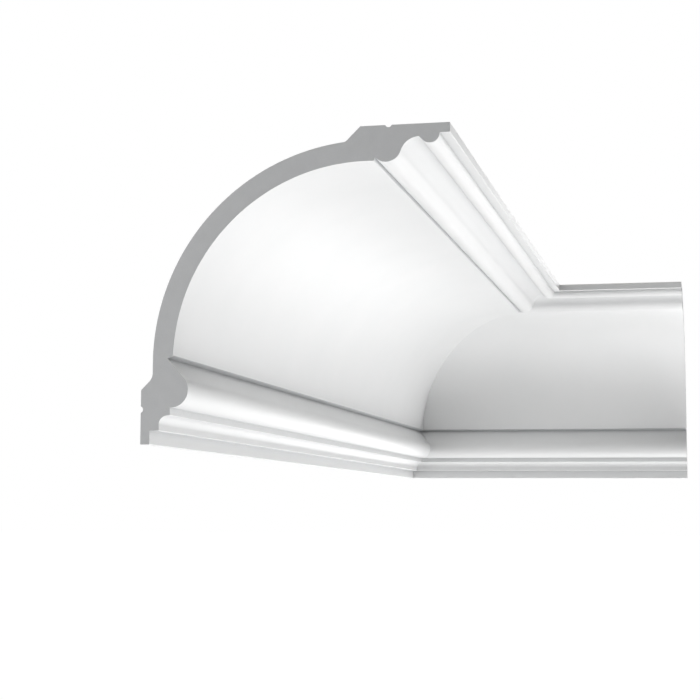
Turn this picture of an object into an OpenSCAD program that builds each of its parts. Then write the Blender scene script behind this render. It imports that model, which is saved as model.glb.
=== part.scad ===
// Cove cornice moulding: two lengths that meet in a 45 degree mitre at an inside room corner.
//
// Both lengths share one section. In the section, u runs out from the wall and h runs up
// from the lower edge. The wall of the left length is the plane x = 0 and the wall of the
// back length is the plane y = 0. The ceiling is the plane z = height.
// The origin is the room corner at the lower edge.

/* [Overall] */
// Height of the section on the wall
height = 228; // [160:1:300]
// Projection of the section along the ceiling
projection = 228; // [160:1:300]
// Length of the left length on its wall
left_len = 1050; // [400:1:2000]
// Length of the back length on its wall
back_len = 372; // [310:1:2000]

/* [Cove] */
// Thickness of the cove's shell
shell_t = 15.3; // [8:0.1:18]
// Distance from the wall to the lower end of the cove's face
cove_face = 23.9; // [20:0.1:32]
// Depth of the cove's springing line below the lower quirk
springing_d = 2.3; // [0:0.1:6]
// Depth of the cove's crown below the ceiling
crown_d = 25.6; // [22:0.1:32]
// Level stretch between the cove's quarter circle and the upper quirk
crown_flat = 6.6; // [2:0.1:20]

/* [Lower mouldings] */
// Thickness of the lower edge
foot_t = 6.9; // [3:0.1:12]
// Height of the lower fascia
foot_h = 10; // [5:0.1:16]
// Distance from the wall to the second fascia
band_t = 13.9; // [12.5:0.1:15]
// Height of the second fascia up to its cavetto
band_h = 4.3; // [2:0.1:8]
// Radius of the lower cavetto
cavetto_r = 6.8; // [4:0.1:8]
// Distance from the wall to the fillet under the ovolo
fillet_t = 22.3; // [22:0.1:28]
// Height of the fillet under the ovolo
fillet_h = 5.5; // [3:0.1:8]
// Radius of the ovolo
ovolo_r = 12.9; // [10:0.1:14]
// Greatest distance from the wall to the ovolo
ovolo_t = 35.7; // [32:0.1:42]
// Slope of the ovolo's straight upper flank, from level
flank_a = 49; // [45:1:55]
// Depth of the lower quirk behind the cove's face
quirk_d = 4.1; // [2:0.1:6]
// Slope of the lower quirk's upper face, from level
quirk_a = 28; // [15:1:45]

/* [Upper mouldings] */
// Height of the front fascia
nose_h = 7.1; // [4:0.1:12]
// Width of the soffit behind the front fascia
nose_soffit = 7.35; // [4:0.05:12]
// Radius of the front bead
bead_r = 7.15; // [5:0.05:8]
// Distance from the front edge back to the centre of the hollow
hollow_back = 22; // [20:0.1:23]
// Depth of the top of the hollow below the ceiling
hollow_d = 9.2; // [8:0.1:12]
// Radius of the hollow
hollow_r = 14.4; // [12:0.1:16]
// Radius of the torus beside the cove
torus_r = 11.1; // [9.5:0.1:13]
// Drop of the lowest line of the torus below the cove's crown
torus_drop = 1.2; // [0:0.1:3]
// Depth of the upper quirk above the cove's crown
crown_quirk_d = 2.5; // [1:0.1:4]
// Slope of the upper quirk's face, from level
crown_quirk_a = 70; // [50:1:85]

/* [Back] */
// Height of the bearing face on the wall
wall_face_h = 39.7; // [34:0.1:46]
// Width of the bearing face on the ceiling
ceiling_face_w = 65.3; // [63:0.1:80]
// Radius where the lower chamfer runs into the back of the shell
lower_back_r = 9; // [3:0.5:14]
// Radius where the upper chamfer runs into the back of the shell
upper_back_r = 5; // [2:0.5:10]
// Width of each adhesive groove at the bearing face
groove_w = 4.6; // [2:0.1:6]
// Depth of each adhesive groove
groove_d = 1.7; // [0.8:0.1:2.2]
// Height of the adhesive groove on the wall face
wall_groove_h = 25.4; // [16:0.1:30]
// Distance from the front edge back to the groove on the ceiling face
ceiling_groove_back = 44.6; // [36:0.1:54]

/* [Hidden] */

$fn = 128;
SQRT2 = sqrt(2);
FINISH = [0.93, 0.93, 0.925];

// Lower mouldings, from the lower edge up
band_top = foot_h + band_h;
cavetto_c = [band_t + cavetto_r, band_top];
fillet_bottom = band_top + cavetto_r;
fillet_top = fillet_bottom + fillet_h;
ovolo_c = [ovolo_t - ovolo_r, fillet_top + ovolo_r];
flank_foot = ovolo_c + ovolo_r * [sin(flank_a), cos(flank_a)];
quirk_u = cove_face - quirk_d;
quirk_tip = [quirk_u, flank_foot[1] + (flank_foot[0] - quirk_u) * tan(flank_a)];
QUIRK_REACH = 40;

// Upper mouldings, from the front edge back. The hollow and the torus meet in a true
// ogee: their circles touch at one point on the line between the centres.
nose_bottom = height - nose_h;
bead_c = [projection - nose_soffit - bead_r, nose_bottom];
bead_flank = bead_c - bead_r * [1, 1] / SQRT2;
hollow_c = [projection - hollow_back, height - hollow_d - hollow_r];
crown_h = height - crown_d;
torus_h = crown_h - torus_drop + torus_r;
ogee_rise = torus_h - hollow_c[1];
ogee_run = sqrt(pow(hollow_r + torus_r, 2) - pow(ogee_rise, 2));
torus_c = [hollow_c[0] - ogee_run, torus_h];
ogee_point = torus_c + (hollow_c - torus_c) * torus_r / (torus_r + hollow_r);
// The 45 degree flank of the bead meets the hollow in a blunt arris
flank_sum = bead_flank[0] + bead_flank[1] - hollow_c[0] - hollow_c[1];
arris_u = (flank_sum - sqrt(2 * hollow_r * hollow_r - flank_sum * flank_sum)) / 2;
arris = hollow_c + [arris_u, flank_sum - arris_u];
crown_quirk_tip = [
    torus_c[0] - sqrt(pow(torus_r, 2) - pow(torus_c[1] - crown_h - crown_quirk_d, 2)),
    crown_h + crown_quirk_d
];
crown_end = crown_quirk_tip[0] - crown_quirk_d / tan(crown_quirk_a);

// Cove: the largest quarter circle between the two groups of mouldings. Where one side
// leaves more room than the other, the face runs straight up to it or on from it.
cove_r = min(crown_h - quirk_tip[1] + springing_d, crown_end - crown_flat - cove_face);
cove_c = [cove_face + cove_r, crown_h - cove_r];
back_r = cove_r + shell_t;
back_u = cove_face - shell_t;

// Back: 45 degree chamfers from the bearing faces into the shell, with a fillet in each
// inner corner. The blocks behind the mouldings reach to the middle of the shell.
shell_mid = shell_t / 2;
chamfer_normal = [1, -1] / SQRT2;
lower_fillet_c = [back_u - lower_back_r, wall_face_h + back_u + lower_back_r * tan(22.5)];
chamfer_u = projection - ceiling_face_w;
// The upper fillet touches the chamfer and the round back of the shell, or its level back
// where the crown runs on beyond the cove's quarter circle
fillet_line = height - chamfer_u + upper_back_r * SQRT2;
fillet_k = fillet_line + cove_c[0] - cove_c[1];
fillet_dx = (sqrt(2 * pow(back_r + upper_back_r, 2) - pow(fillet_k, 2)) - fillet_k) / 2;
on_crown = fillet_dx > 0;
upper_fillet_h = on_crown
    ? crown_h + shell_t + upper_back_r
    : cove_c[1] + fillet_dx + fillet_k;
upper_fillet_c = [upper_fillet_h - fillet_line, upper_fillet_h];
upper_fillet_dir = on_crown
    ? [0, -1]
    : [-fillet_dx, -fillet_dx - fillet_k] / (back_r + upper_back_r);

groove_r = (pow(groove_w / 2, 2) + pow(groove_d, 2)) / (2 * groove_d);

// Disc of which only the part inside a rectangle is kept, the rectangle's corner being
// given from the disc's centre
module clipped_disc(centre, r, corner, size) {
    translate(centre) intersection() {
        circle(r = r);
        translate(corner) square(size);
    }
}

// Disc of the cove with the straight runs that go down and on from its quarter circle
module cove_disc(r) {
    translate(cove_c) circle(r = r);
    translate([cove_c[0] - r, wall_face_h])
        square([crown_end - cove_c[0] + r, cove_c[1] - wall_face_h]);
    translate(cove_c) square([crown_end - cove_c[0], r]);
}

// Shell of the cove, from the lower mouldings to the upper ones
module shell_outline() {
    intersection() {
        difference() {
            cove_disc(back_r);
            cove_disc(cove_r);
        }
        translate([back_u, wall_face_h])
            square([crown_end - back_u, crown_h + shell_t - wall_face_h]);
    }
}

// Lower edge, second fascia, cavetto and fillet
module fascia_outline() {
    square([foot_t, foot_h]);
    translate([0, foot_h]) square([band_t, fillet_top - foot_h]);
    difference() {
        translate([0, band_top]) square([cavetto_c[0], cavetto_r]);
        translate(cavetto_c) circle(r = cavetto_r);
    }
    translate([0, fillet_bottom]) square([fillet_t, fillet_h]);
}

// Ovolo with its straight flank, backed by the wall face and the lower chamfer
module ovolo_outline() {
    clipped_disc(ovolo_c, ovolo_r, [0, -ovolo_r], [ovolo_r, 2 * ovolo_r]);
    difference() {
        polygon([
            [0, fillet_top],
            [ovolo_c[0], fillet_top],
            ovolo_c,
            flank_foot,
            quirk_tip,
            [back_u + shell_mid, lower_fillet_c[1]],
            lower_fillet_c,
            lower_fillet_c + lower_back_r * chamfer_normal,
            [0, wall_face_h]
        ]);
        translate(lower_fillet_c) circle(r = lower_back_r);
    }
}

// Sharp recess between the ovolo's flank and the cove's face
module quirk_outline() {
    polygon([
        quirk_tip,
        quirk_tip + QUIRK_REACH * [cos(flank_a), -sin(flank_a)],
        quirk_tip + QUIRK_REACH * [cos(quirk_a), sin(quirk_a)]
    ]);
}

// Front fascia and bead, with the bead's 45 degree flank up to the arris
module nose_outline() {
    translate([bead_c[0], nose_bottom]) square([projection - bead_c[0], nose_h]);
    clipped_disc(bead_c, bead_r, [-bead_r, -bead_r], [2 * bead_r, bead_r]);
    polygon([arris, bead_flank, bead_c, [bead_c[0], height], [arris[0], height]]);
}

// Ogee of hollow and torus
module ogee_outline() {
    difference() {
        polygon([torus_c, ogee_point, hollow_c, arris, [arris[0], height], [torus_c[0], height]]);
        translate(hollow_c) circle(r = hollow_r);
    }
    clipped_disc(torus_c, torus_r, [-torus_r, -torus_r], [2 * torus_r, torus_r]);
}

// Bearing block on the ceiling, from the torus back to the upper chamfer
module crown_outline() {
    difference() {
        polygon([
            [chamfer_u, height],
            upper_fillet_c + upper_back_r * chamfer_normal,
            upper_fillet_c,
            upper_fillet_c + (upper_back_r + shell_mid) * upper_fillet_dir,
            [max(cove_c[0], upper_fillet_c[0]), crown_h],
            [crown_end, crown_h],
            crown_quirk_tip,
            torus_c,
            [torus_c[0], height]
        ]);
        translate(upper_fillet_c) circle(r = upper_back_r);
    }
}

// Whole section, standing on its lower edge with the wall at u = 0
module section() {
    difference() {
        union() {
            shell_outline();
            fascia_outline();
            ovolo_outline();
            nose_outline();
            ogee_outline();
            crown_outline();
        }
        quirk_outline();
        translate([groove_d - groove_r, wall_groove_h]) circle(r = groove_r);
        translate([projection - ceiling_groove_back, height - groove_d + groove_r])
            circle(r = groove_r);
    }
}

// A length along the wall x = 0, cut square at y = -len and mitred at the corner
module mitred_length(len) {
    side = 2 * (len + projection);
    difference() {
        rotate([90, 0, 0]) linear_extrude(height = len) section();
        rotate([0, 0, 45]) translate([0, -side / 2, -side / 2]) cube(side);
    }
}

module left_length() {
    color(FINISH) mitred_length(left_len);
}

module back_length() {
    color(FINISH) mirror([1, 1, 0]) mitred_length(back_len);
}

left_length();
back_length();
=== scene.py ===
"""Cove cornice moulding: two primed polyurethane lengths that meet in a mitre at a room corner.

The corner is at the origin, at the lower edge. Both lengths are drawn from one section, in
which u runs out from the wall and h runs up from the lower edge, in millimetres. Each length
is drawn as an outline at its cut end, filled, extruded along its wall and a little past the
corner, and cut off there at 45 degrees.
"""

import math

import bmesh
import bpy
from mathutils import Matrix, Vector


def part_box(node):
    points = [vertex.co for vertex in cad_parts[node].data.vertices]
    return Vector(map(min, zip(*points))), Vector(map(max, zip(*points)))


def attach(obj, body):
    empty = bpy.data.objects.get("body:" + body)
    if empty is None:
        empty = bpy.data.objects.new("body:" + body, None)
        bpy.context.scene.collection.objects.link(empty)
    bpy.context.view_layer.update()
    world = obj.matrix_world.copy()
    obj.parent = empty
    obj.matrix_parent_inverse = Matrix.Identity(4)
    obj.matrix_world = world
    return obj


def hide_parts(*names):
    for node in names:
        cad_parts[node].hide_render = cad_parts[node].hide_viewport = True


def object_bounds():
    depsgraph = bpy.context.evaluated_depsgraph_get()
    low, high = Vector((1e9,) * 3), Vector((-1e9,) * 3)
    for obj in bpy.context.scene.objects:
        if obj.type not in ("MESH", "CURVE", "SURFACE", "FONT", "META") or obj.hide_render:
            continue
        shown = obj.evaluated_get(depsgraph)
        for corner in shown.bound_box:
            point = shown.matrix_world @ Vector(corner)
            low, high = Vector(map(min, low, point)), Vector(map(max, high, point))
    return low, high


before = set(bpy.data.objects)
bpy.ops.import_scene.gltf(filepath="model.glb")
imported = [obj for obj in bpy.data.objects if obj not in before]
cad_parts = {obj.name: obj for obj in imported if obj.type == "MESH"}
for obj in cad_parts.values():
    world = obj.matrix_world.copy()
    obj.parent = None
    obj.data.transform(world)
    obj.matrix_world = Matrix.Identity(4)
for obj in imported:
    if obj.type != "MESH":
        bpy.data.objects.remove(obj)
cad_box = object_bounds()

MM = 0.001
PER_MM = 1 / MM
LEFT_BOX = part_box("left_length")
BACK_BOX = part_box("back_length")

# The two lengths: node, cut end, step out from its wall and way from the cut end to the corner
LENGTHS = (
    ("left_length", Vector((0, LEFT_BOX[0].y, 0)), Vector((1, 0, 0)), Vector((0, 1, 0))),
    ("back_length", Vector((BACK_BOX[1].x, 0, 0)), Vector((0, -1, 0)), Vector((-1, 0, 0))),
)

# Sizes of the section, in millimetres, from the lower edge up. In a name, T is a distance out
# from the wall, H a height, R a radius, W a width, DROP a depth below the ceiling, and BACK at
# its end a distance back from the front edge. The springing's drop is from the quirk's tip,
# and the torus's is from the crown of the cove
HEIGHT = LEFT_BOX[1].z / MM
PROJECTION = LEFT_BOX[1].x / MM
FOOT_T, FOOT_H = 6.9, 10
BAND_T, BAND_H = 13.9, 4.3
CAVETTO_R = 6.8
FILLET_T, FILLET_H = 22.3, 5.5
OVOLO_R, OVOLO_T = 12.9, 35.7
FLANK_SLOPE = math.radians(49)
QUIRK_DEPTH, QUIRK_SLOPE = 4.1, math.radians(28)
COVE_FACE, SPRINGING_DROP = 23.9, 2.3
CROWN_DROP, CROWN_FLAT = 25.6, 6.6
CROWN_QUIRK_DEPTH, CROWN_QUIRK_SLOPE = 2.5, math.radians(70)
TORUS_R, TORUS_DROP = 11.1, 1.2
HOLLOW_R, HOLLOW_BACK, HOLLOW_DROP = 14.4, 22, 9.2
BEAD_R = 7.15
NOSE_H, NOSE_SOFFIT = 7.1, 7.35
# Thickness of the shell, its two bearing faces, the curves between them and the shell's back,
# and their grooves
SHELL_T = 15.3
WALL_FACE_H, CEILING_FACE_W = 39.7, 65.3
LOWER_BACK_R, UPPER_BACK_R = 9, 5
GROOVE_W, GROOVE_DEPTH = 4.6, 1.7
WALL_GROOVE_H, CEILING_GROOVE_BACK = 25.4, 44.6

# An arc's chords are about this long, in millimetres, and it has at least so many
CHORD, LEAST_STEPS = 0.9, 10
# How far a moulded arris is rounded, in so many steps, if it turns by more than the angle
ARRIS, ARRIS_STEPS, ARRIS_ANGLE = 0.45, 4, math.radians(20)
# Points this near each other are one, and points this near the mitre are on it
JOIN, ON_MITRE = 0.01, 0.001
# How far a length runs past the corner before the mitre is cut
PAST_CORNER = 5
# Faces that turn by less than this shade as one curve
SMOOTH_BELOW = math.radians(32)
# Which way an arc of the outline turns
LEFT, RIGHT = 1, -1

# Each finish's place in a length's list, and how squarely a face has to cross the run to be
# cut: the square end is 1, the mitre 0.71 and all the others 0
FACE, CUT, BACK = 0, 1, 2
CUT_ABOVE = 0.5

# ---------------------------------------------------------------------------------------
# Points of the section
# ---------------------------------------------------------------------------------------


def toward(angle):
    """Unit step in the section, at an angle up from level."""
    return Vector((math.cos(angle), math.sin(angle)))


# From the foot up to the lower quirk
band_top = FOOT_H + BAND_H
cavetto_centre = Vector((BAND_T + CAVETTO_R, band_top))
fillet_bottom = band_top + CAVETTO_R
fillet_top = fillet_bottom + FILLET_H
ovolo_centre = Vector((OVOLO_T - OVOLO_R, fillet_top + OVOLO_R))
flank_foot = ovolo_centre + OVOLO_R * toward(math.pi / 2 - FLANK_SLOPE)
quirk_u = COVE_FACE - QUIRK_DEPTH
quirk_tip = Vector((quirk_u, flank_foot.y + (flank_foot.x - quirk_u) * math.tan(FLANK_SLOPE)))

# From the nose back to the upper quirk. The torus and the hollow touch in the ogee point. The
# flank between the hollow and the bead falls at 45 degrees, so u + h is the same all along it
nose_bottom = HEIGHT - NOSE_H
bead_centre = Vector((PROJECTION - NOSE_SOFFIT - BEAD_R, nose_bottom))
bead_flank = bead_centre + BEAD_R * toward(math.radians(-135))
hollow_centre = Vector((PROJECTION - HOLLOW_BACK, HEIGHT - HOLLOW_DROP - HOLLOW_R))
crown_h = HEIGHT - CROWN_DROP
torus_h = crown_h - TORUS_DROP + TORUS_R
ogee_rise = torus_h - hollow_centre.y
ogee_run = math.sqrt((HOLLOW_R + TORUS_R) ** 2 - ogee_rise**2)
torus_centre = Vector((hollow_centre.x - ogee_run, torus_h))
ogee_point = torus_centre.lerp(hollow_centre, TORUS_R / (TORUS_R + HOLLOW_R))
flank_sum = sum(bead_flank) - sum(hollow_centre)
arris_u = (flank_sum - math.sqrt(2 * HOLLOW_R**2 - flank_sum**2)) / 2
arris = hollow_centre + Vector((arris_u, flank_sum - arris_u))
crown_quirk_h = crown_h + CROWN_QUIRK_DEPTH
crown_quirk_tip = Vector(
    (
        torus_centre.x - math.sqrt(TORUS_R**2 - (torus_h - crown_quirk_h) ** 2),
        crown_quirk_h,
    )
)
crown_end = Vector(
    (crown_quirk_tip.x - CROWN_QUIRK_DEPTH / math.tan(CROWN_QUIRK_SLOPE), crown_h)
)

# The cove is a quarter circle, as large as its springing and its crown allow
cove_r = min(
    crown_h - quirk_tip.y + SPRINGING_DROP, crown_end.x - CROWN_FLAT - COVE_FACE
)
cove_centre = Vector((COVE_FACE + cove_r, crown_h - cove_r))
# The quirk's upper face runs from its tip until it meets the cove
to_centre = quirk_tip - cove_centre
quirk_step = toward(QUIRK_SLOPE)
along = to_centre.dot(quirk_step)
quirk_run = -along - math.sqrt(along**2 - to_centre.length_squared + cove_r**2)
cove_foot = quirk_tip + quirk_run * quirk_step

# The back of the shell and the lower curve, which leads to the wall face at 45 degrees
back_r = cove_r + SHELL_T
back_u = COVE_FACE - SHELL_T
lower_back_centre = Vector(
    (
        back_u - LOWER_BACK_R,
        WALL_FACE_H + back_u + LOWER_BACK_R * math.tan(math.pi / 8),
    )
)
# The upper curve leads to the ceiling face at 45 degrees. Its centre is a radius outside the
# shell's back and a radius beside that slope, which makes it further up than out from the
# cove's centre by beside_slope
chamfer_u = PROJECTION - CEILING_FACE_W
beside_slope = (
    HEIGHT - chamfer_u + UPPER_BACK_R * math.sqrt(2) + cove_centre.x - cove_centre.y
)
centre_step = math.sqrt(2 * (back_r + UPPER_BACK_R) ** 2 - beside_slope**2) - beside_slope
upper_back_centre = cove_centre + Vector((centre_step / 2, centre_step / 2 + beside_slope))
upper_back_foot = upper_back_centre.lerp(
    cove_centre, UPPER_BACK_R / (back_r + UPPER_BACK_R)
)
# The adhesive grooves, which are shallow arcs
half_groove = GROOVE_W / 2
groove_r = (half_groove**2 + GROOVE_DEPTH**2) / (2 * GROOVE_DEPTH)
wall_groove_centre = Vector((GROOVE_DEPTH - groove_r, WALL_GROOVE_H))
ceiling_groove_centre = Vector(
    (PROJECTION - CEILING_GROOVE_BACK, HEIGHT - GROOVE_DEPTH + groove_r)
)

# The outline, from the lower edge out over the face, along the ceiling and down the back.
# A point is reached in a straight line, or round a centre to the left or the right
OUTLINE = [
    ((FOOT_T, 0), None, None),
    ((FOOT_T, FOOT_H), None, None),
    ((BAND_T, FOOT_H), None, None),
    ((BAND_T, band_top), None, None),
    ((cavetto_centre.x, fillet_bottom), cavetto_centre, RIGHT),
    ((FILLET_T, fillet_bottom), None, None),
    ((FILLET_T, fillet_top), None, None),
    ((ovolo_centre.x, fillet_top), None, None),
    (flank_foot, ovolo_centre, LEFT),
    (quirk_tip, None, None),
    (cove_foot, None, None),
    ((cove_centre.x, crown_h), cove_centre, RIGHT),
    (crown_end, None, None),
    (crown_quirk_tip, None, None),
    (ogee_point, torus_centre, LEFT),
    (arris, hollow_centre, RIGHT),
    (bead_flank, None, None),
    ((bead_centre.x + BEAD_R, nose_bottom), bead_centre, LEFT),
    ((PROJECTION, nose_bottom), None, None),
    ((PROJECTION, HEIGHT), None, None),
    ((ceiling_groove_centre.x + half_groove, HEIGHT), None, None),
    ((ceiling_groove_centre.x - half_groove, HEIGHT), ceiling_groove_centre, RIGHT),
    ((chamfer_u, HEIGHT), None, None),
    (upper_back_centre + UPPER_BACK_R * toward(-math.pi / 4), None, None),
    (upper_back_foot, upper_back_centre, RIGHT),
    ((back_u, cove_centre.y), cove_centre, LEFT),
    ((back_u, lower_back_centre.y), None, None),
    (
        lower_back_centre + LOWER_BACK_R * toward(-math.pi / 4),
        lower_back_centre,
        RIGHT,
    ),
    ((0, WALL_FACE_H), None, None),
    ((0, WALL_GROOVE_H + half_groove), None, None),
    ((0, WALL_GROOVE_H - half_groove), wall_groove_centre, RIGHT),
    ((0, 0), None, None),
]


def is_back(u, h):
    """Whether a place on the section's outline belongs to its bearing faces or back."""
    # Between the shell's face and back. Its tail stands straight by the wall, below the cove
    half_shell = SHELL_T / 2
    bears = u < GROOVE_DEPTH or h > HEIGHT - GROOVE_DEPTH
    behind_tail = u < back_u + half_shell
    from_cove = (Vector((u, h)) - cove_centre).length
    behind_cove = u < chamfer_u and from_cove > cove_r + half_shell
    return bears or (h > WALL_FACE_H and (behind_tail or behind_cove))


# ---------------------------------------------------------------------------------------
# Modelling
# ---------------------------------------------------------------------------------------


def soften_arrises(piece):
    """Rounds the outline's outward corners slightly, as a mould leaves them."""
    mesh = bmesh.from_edit_mesh(piece.data)
    bpy.ops.mesh.select_all(action="DESELECT")
    face = mesh.faces[0]
    for loop in face.loops:
        before = loop.vert.co - loop.link_loop_prev.vert.co
        after = loop.link_loop_next.vert.co - loop.vert.co
        outward = before.cross(after).dot(face.normal) > 0
        if outward and before.angle(after) > ARRIS_ANGLE:
            loop.vert.select_set(True)
    bmesh.update_edit_mesh(piece.data)
    bpy.ops.mesh.bevel(offset=ARRIS * MM, segments=ARRIS_STEPS, affect="VERTICES")


def model_length(name, cut_end, out, run):
    """One length, drawn at its cut end, extruded along run and mitred at the corner.

    out is the step away from its wall and run the way from the cut end to the corner.
    """
    up = Vector((0, 0, 1))
    spin_axis = out.cross(up)

    # A small square is merged to one point, which is then pulled round the outline
    bpy.ops.object.select_all(action="DESELECT")
    bpy.ops.mesh.primitive_plane_add(size=FOOT_T * MM, location=cut_end)
    piece = bpy.context.active_object
    piece.name = piece.data.name = name
    bpy.ops.object.transform_apply(location=True, rotation=True, scale=True)
    bpy.ops.object.mode_set(mode="EDIT")
    bpy.ops.mesh.select_mode(type="VERT")
    bpy.ops.mesh.select_all(action="SELECT")
    bpy.ops.mesh.merge(type="CENTER")
    here = Vector((0, 0))
    for target, centre, sense in OUTLINE:
        target = Vector(target)
        if centre is None:
            step = (target.x - here.x) * out + (target.y - here.y) * up
            bpy.ops.mesh.extrude_region_move(TRANSFORM_OT_translate={"value": step * MM})
        else:
            first, last = here - centre, target - centre
            turn = math.atan2(last.y, last.x) - math.atan2(first.y, first.x)
            turn = turn % math.tau if sense == LEFT else -(-turn % math.tau)
            # The operator turns clockwise about its axis
            bpy.ops.mesh.spin(
                steps=max(LEAST_STEPS, round(abs(turn) * first.length / CHORD)),
                angle=-turn,
                center=cut_end + (centre.x * out + centre.y * up) * MM,
                axis=spin_axis,
            )
        here = target
    bpy.ops.mesh.select_all(action="SELECT")
    bpy.ops.mesh.remove_doubles(threshold=JOIN * MM)
    bpy.ops.mesh.edge_face_add()
    soften_arrises(piece)

    bpy.ops.mesh.select_all(action="SELECT")
    bpy.ops.mesh.extrude_region_move(
        TRANSFORM_OT_translate={"value": run * (cut_end.length + PAST_CORNER * MM)}
    )
    bpy.ops.mesh.select_all(action="SELECT")
    bpy.ops.mesh.bisect(
        plane_co=(0, 0, 0),
        plane_no=run + out,
        use_fill=True,
        clear_outer=True,
        threshold=ON_MITRE * MM,
    )
    bpy.ops.mesh.select_all(action="SELECT")
    bpy.ops.mesh.normals_make_consistent(inside=False)
    bpy.ops.object.mode_set(mode="OBJECT")
    return piece


# ---------------------------------------------------------------------------------------
# Materials
# ---------------------------------------------------------------------------------------

# Sizes of the primer's patterns, in millimetres: how far its tone takes to change, its orange
# peel, and how far round a place the painted shade looks for faces that hide it. The painted
# shade is darkest where a place is open to no more than this share of its surroundings
TONE_CHANGE = 60
PEEL, PEEL_HEIGHT = 1.6, 0.05
SHADE_REACH, SHADE_DARKEST_AT = 18, 0.2
# Sizes of the sawn foam's patterns. The cells are drawn coarser than the real ones, so that
# they show close to. The saw's lines are so shallow that they hardly show
CELL, SAW_PITCH, FOAM_HEIGHT = 0.55, 3.5, 0.12
MOTTLE = 9
# Sizes of the moulded skin's patterns: its flow marks, and the pinholes' spacing and their
# radius at the bottom and at the rim
FLOW, FLOW_HEIGHT = 35, 0.4
PINHOLE_SPACING, PINHOLE_R, PINHOLE_RIM_R = 7, 0.28, 0.63
# Bands that a wave texture draws in a unit at a scale of 1
WAVE_BANDS = 20 / math.tau

# Polyurethane and its primer bend light alike
IOR = 1.5
WHITE = (1, 1, 1, 1)


def colour(code):
    """Linear colour of an sRGB hex value."""
    parts = (int(code[i : i + 2], 16) / 255 for i in (1, 3, 5))
    return (
        *(c / 12.92 if c <= 0.04045 else ((c + 0.055) / 1.055) ** 2.4 for c in parts),
        1,
    )


def add(tree, kind, settings=None, **links):
    """A node of a kind, with its settings and with its inputs linked or set.

    An input goes by its name, with _ for each space, or by _ and its number. A mix takes its
    share as _0, its numbers as _2 and _3, and its colours as _6 and _7.
    """
    node = tree.nodes.new(kind)
    for name, value in (settings or {}).items():
        setattr(node, name, value)
    for name, value in links.items():
        socket = node.inputs[int(name[1:]) if name[1:].isdigit() else name.replace("_", " ")]
        if isinstance(value, bpy.types.NodeSocket):
            tree.links.new(value, socket)
        else:
            socket.default_value = value
    return node


def new_material(name):
    """An empty node material, its tree and the object's own coordinates, in metres."""
    material = bpy.data.materials.new(name)
    material.use_nodes = True
    tree = material.node_tree
    tree.nodes.clear()
    place = add(tree, "ShaderNodeTexCoord").outputs["Object"]
    return material, tree, place


def primed_polyurethane():
    """Polyurethane moulded in a smooth tool and sprayed with white primer: an even matt white
    with a faint orange peel and a slight change of tone along the length. Shade is painted
    into the colour of the quirks, hollows and inner corners, which look a shade greyer."""
    material, tree, place = new_material("primed_moulded_polyurethane")
    cloud = add(tree, "ShaderNodeTexNoise", Vector=place, Scale=PER_MM / TONE_CHANGE, Detail=3.0)
    tone = add(
        tree,
        "ShaderNodeMix",
        {"data_type": "RGBA"},
        _0=cloud.outputs["Fac"],
        _6=colour("#E3E4E4"),
        _7=colour("#E8E8E8"),
    )
    # Painted shade: where the moulding's own faces hide a place, in the quirks, hollows and
    # inner corners, the colour is mixed towards grey
    occlusion = add(
        tree,
        "ShaderNodeAmbientOcclusion",
        {"samples": 16, "only_local": True},
        Distance=SHADE_REACH * MM,
    )
    openness = add(
        tree,
        "ShaderNodeMapRange",
        Value=occlusion.outputs["AO"],
        From_Min=SHADE_DARKEST_AT,
        From_Max=1.0,
    )
    # The grey of the painted shade, mixed in by how open a place is
    painted_shade_colour = add(
        tree,
        "ShaderNodeMix",
        {"data_type": "RGBA"},
        _0=openness.outputs["Result"],
        _6=colour("#ABADAF"),
        _7=tone.outputs[2],
    )
    peel = add(tree, "ShaderNodeTexNoise", Vector=place, Scale=PER_MM / PEEL, Detail=2.0)
    rough = add(
        tree,
        "ShaderNodeMapRange",
        Value=peel.outputs["Fac"],
        To_Min=0.38,
        To_Max=0.48,
    )
    bump = add(
        tree,
        "ShaderNodeBump",
        Height=peel.outputs["Fac"],
        Strength=0.05,
        Distance=PEEL_HEIGHT * MM,
    )
    shader = add(
        tree,
        "ShaderNodeBsdfPrincipled",
        Base_Color=painted_shade_colour.outputs[2],
        Roughness=rough.outputs["Result"],
        IOR=IOR,
        Normal=bump.outputs["Normal"],
    )
    add(tree, "ShaderNodeOutputMaterial", Surface=shader.outputs["BSDF"])
    return material


def sawn_foam():
    """Closed-cell polyurethane foam cut with a fine saw: an even matt light grey, pricked with
    small open cells, with hardly a trace of the saw's lines."""
    material, tree, place = new_material("sawn_closed_cell_polyurethane_foam")
    cells = add(tree, "ShaderNodeTexVoronoi", Vector=place, Scale=PER_MM / CELL)
    saw = add(
        tree,
        "ShaderNodeTexWave",
        {"bands_direction": "Z"},
        Vector=place,
        Scale=PER_MM / SAW_PITCH / WAVE_BANDS,
        Distortion=1.5,
        Detail=2.0,
        Detail_Scale=1.0,
    )
    mottle = add(tree, "ShaderNodeTexNoise", Vector=place, Scale=PER_MM / MOTTLE, Detail=4.0)
    grain = add(
        tree,
        "ShaderNodeMix",
        {"data_type": "FLOAT"},
        _0=0.35,
        _2=mottle.outputs["Fac"],
        _3=cells.outputs["Distance"],
    )
    tone = add(
        tree,
        "ShaderNodeMix",
        {"data_type": "RGBA"},
        _0=grain.outputs[0],
        _6=colour("#C3C4C5"),
        _7=colour("#D0D1D2"),
    )
    height = add(
        tree,
        "ShaderNodeMix",
        {"data_type": "FLOAT"},
        _0=0.3,
        _2=cells.outputs["Distance"],
        _3=saw.outputs["Fac"],
    )
    bump = add(
        tree,
        "ShaderNodeBump",
        Height=height.outputs[0],
        Strength=0.25,
        Distance=FOAM_HEIGHT * MM,
    )
    shader = add(
        tree,
        "ShaderNodeBsdfPrincipled",
        Base_Color=tone.outputs[2],
        Roughness=0.9,
        IOR=IOR,
        Specular_IOR_Level=0.2,
        Normal=bump.outputs["Normal"],
    )
    add(tree, "ShaderNodeOutputMaterial", Surface=shader.outputs["BSDF"])
    return material


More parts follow.
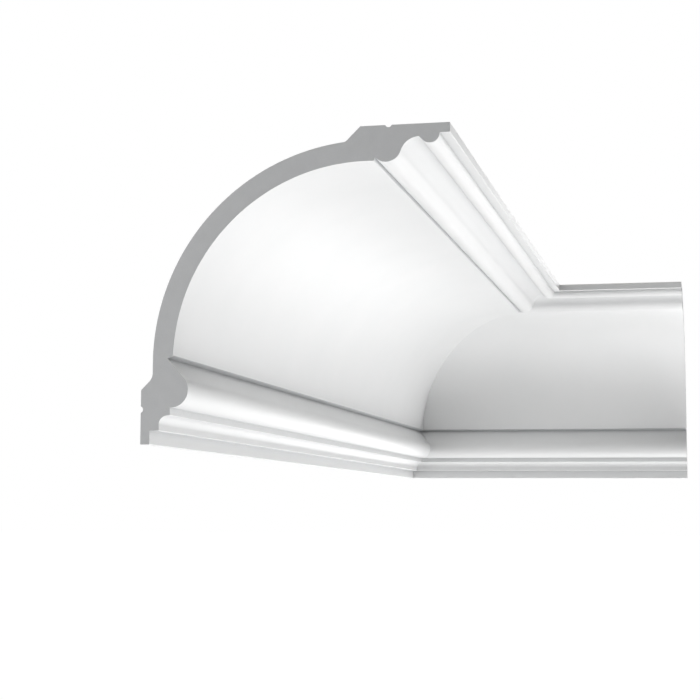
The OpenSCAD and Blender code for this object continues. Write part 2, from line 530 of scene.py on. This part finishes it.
def moulded_back():
    """Unprimed skin of the moulded foam: slightly warm off-white and satin, with soft flow
    marks and scattered pinholes where gas met the tool."""
    material, tree, place = new_material("unprimed_moulded_polyurethane_skin")
    flow = add(
        tree,
        "ShaderNodeTexNoise",
        Vector=place,
        Scale=PER_MM / FLOW,
        Detail=5.0,
        Distortion=0.8,
    )
    holes = add(tree, "ShaderNodeTexVoronoi", Vector=place, Scale=PER_MM / PINHOLE_SPACING)
    pinhole = add(
        tree,
        "ShaderNodeMapRange",
        Value=holes.outputs["Distance"],
        From_Min=PINHOLE_R / PINHOLE_SPACING,
        From_Max=PINHOLE_RIM_R / PINHOLE_SPACING,
    )
    tone = add(
        tree,
        "ShaderNodeMix",
        {"data_type": "RGBA"},
        _0=flow.outputs["Fac"],
        _6=colour("#DAD8D1"),
        _7=colour("#E6E4DE"),
    )
    pricked = add(
        tree,
        "ShaderNodeMix",
        {"data_type": "RGBA"},
        _0=pinhole.outputs["Result"],
        _6=colour("#BDBBB3"),
        _7=tone.outputs[2],
    )
    bump = add(
        tree,
        "ShaderNodeBump",
        Height=flow.outputs["Fac"],
        Strength=0.3,
        Distance=FLOW_HEIGHT * MM,
    )
    rough = add(
        tree, "ShaderNodeMapRange", Value=flow.outputs["Fac"], To_Min=0.42, To_Max=0.6
    )
    shader = add(
        tree,
        "ShaderNodeBsdfPrincipled",
        Base_Color=pricked.outputs[2],
        Roughness=rough.outputs["Result"],
        IOR=IOR,
        Normal=bump.outputs["Normal"],
    )
    add(tree, "ShaderNodeOutputMaterial", Surface=shader.outputs["BSDF"])
    return material


# ---------------------------------------------------------------------------------------
# The two lengths
# ---------------------------------------------------------------------------------------

# In the order of FACE, CUT and BACK
finishes = (primed_polyurethane(), sawn_foam(), moulded_back())


def finish_length(piece, node, out, run):
    """Gives each face of a length its material, smooths its arcs and ties it to the frame."""
    for material in finishes:
        piece.data.materials.append(material)
    for face in piece.data.polygons:
        u, h = face.center.dot(out) / MM, face.center.z / MM
        if abs(face.normal.dot(run)) > CUT_ABOVE:
            face.material_index = CUT
        elif is_back(u, h):
            face.material_index = BACK
        else:
            face.material_index = FACE
    bpy.ops.object.select_all(action="DESELECT")
    piece.select_set(True)
    bpy.context.view_layer.objects.active = piece
    bpy.ops.object.shade_smooth_by_angle(angle=SMOOTH_BELOW)
    bpy.ops.object.modifier_add(type="WEIGHTED_NORMAL")
    weighted = piece.modifiers[-1]
    weighted.keep_sharp = True
    bpy.ops.object.modifier_apply(modifier=weighted.name)
    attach(piece, "root")
    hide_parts(node)


for node, cut_end, out, run in LENGTHS:
    piece = model_length(node + "_moulding", cut_end, out, run)
    finish_length(piece, node, out, run)

# ---------------------------------------------------------------------------------------
# Floor, light and camera
# ---------------------------------------------------------------------------------------

# Height and size of the floor, in metres
FLOOR_Z, FLOOR_SIZE = -2.5, 400
# Where the floor is background it glows, by this share and at the level that makes it white
GLOW_SHARE, GLOW = 0.75, 1.33
# Level of the even light from all round. As background the surround is white
AMBIENT = 0.04

# The camera's lens and sensor in millimetres, its place in metres and its turn in degrees
LENS, SENSOR_WIDTH = 82.2, 36
CAMERA_PLACE = (0.407, -2.150, -0.050)
CAMERA_TURN = (95.888, -0.319, 12.816)


def shows_background(tree):
    """1 for rays that show the background, straight, in a gloss or through glass, else 0."""
    path = add(tree, "ShaderNodeLightPath")
    seen = add(
        tree,
        "ShaderNodeMath",
        {"operation": "MAXIMUM"},
        _0=path.outputs["Is Camera Ray"],
        _1=path.outputs["Is Glossy Ray"],
    )
    seen = add(
        tree,
        "ShaderNodeMath",
        {"operation": "MAXIMUM"},
        _0=seen.outputs[0],
        _1=path.outputs["Is Transmission Ray"],
    )
    return seen.outputs[0]


bpy.ops.object.select_all(action="DESELECT")
bpy.ops.mesh.primitive_plane_add(size=FLOOR_SIZE, location=(0, 0, FLOOR_Z))
floor = bpy.context.active_object
floor.name = "floor"
material, tree, _ = new_material("matt_white_floor")
matt = add(tree, "ShaderNodeBsdfDiffuse", Color=colour("#F4F4F4"))
glow = add(tree, "ShaderNodeEmission", Color=WHITE, Strength=GLOW)
seen = shows_background(tree)
share = add(tree, "ShaderNodeMath", {"operation": "MULTIPLY"}, _0=seen, _1=GLOW_SHARE)
mixed = add(
    tree,
    "ShaderNodeMixShader",
    _0=share.outputs[0],
    _1=matt.outputs["BSDF"],
    _2=glow.outputs["Emission"],
)
add(tree, "ShaderNodeOutputMaterial", Surface=mixed.outputs["Shader"])
floor.data.materials.append(material)

world = bpy.data.worlds.new("studio")
bpy.context.scene.world = world
world.use_nodes = True
tree = world.node_tree
tree.nodes.clear()
seen = shows_background(tree)
strength = add(tree, "ShaderNodeMapRange", Value=seen, To_Min=AMBIENT, To_Max=1.0)
surround = add(
    tree,
    "ShaderNodeBackground",
    Color=WHITE,
    Strength=strength.outputs["Result"],
)
add(tree, "ShaderNodeOutputWorld", Surface=surround.outputs["Background"])


def softbox(name, azimuth, elevation, distance, spread, level):
    """A square lamp that isn't itself seen, at a distance from the middle of the object.

    Azimuth turns from the right (0) to the front (90), and spread is the angle that the lamp
    fills, in degrees. A white surface that faces the lamp squarely renders at about its level.
    """
    middle = (cad_box[0] + cad_box[1]) / 2
    around, above = math.radians(azimuth), math.radians(elevation)
    way = Vector(
        (
            math.cos(above) * math.cos(around),
            -math.cos(above) * math.sin(around),
            math.sin(above),
        )
    )
    bpy.ops.object.select_all(action="DESELECT")
    bpy.ops.object.light_add(type="AREA", location=middle + way * distance)
    lamp = bpy.context.active_object
    lamp.name = name
    lamp.rotation_euler = way.to_track_quat("Z", "Y").to_euler()
    lamp.data.size = 2 * distance * math.tan(math.radians(spread / 2))
    lamp.data.energy = level * (math.pi * distance) ** 2
    lamp.visible_camera = False


# From below, for the soffits and the lower edges
softbox("softbox_below", -35, -65, 2.4, 25, 0.44)
softbox("softbox_below_front", 30, -65, 2.4, 25, 0.13)
# From the front and the left, for the cut end and what faces the front
softbox("softbox_front", 100, -4, 3.2, 55, 0.21)
softbox("softbox_front_left", 140, -3, 3.2, 55, 0.6)
softbox("softbox_left_low", 150, -30, 3.5, 25, 0.1)
# From the right, for the left length's cove and mouldings
softbox("softbox_right", -20, -5, 4.0, 25, 0.12)
softbox("softbox_right_back", -60, -12, 3.2, 55, 0.63)
# From behind and above, for the backs and the ceiling faces
softbox("softbox_behind", -140, 50, 4.0, 55, 0.75)

camera_data = bpy.data.cameras.new("camera")
camera = bpy.data.objects.new("camera", camera_data)
bpy.context.scene.collection.objects.link(camera)
camera_data.lens = LENS
camera_data.sensor_width = SENSOR_WIDTH
camera.location = CAMERA_PLACE
camera.rotation_euler = [math.radians(angle) for angle in CAMERA_TURN]
bpy.context.scene.camera = camera

bpy.context.scene.view_settings.view_transform = "Standard"
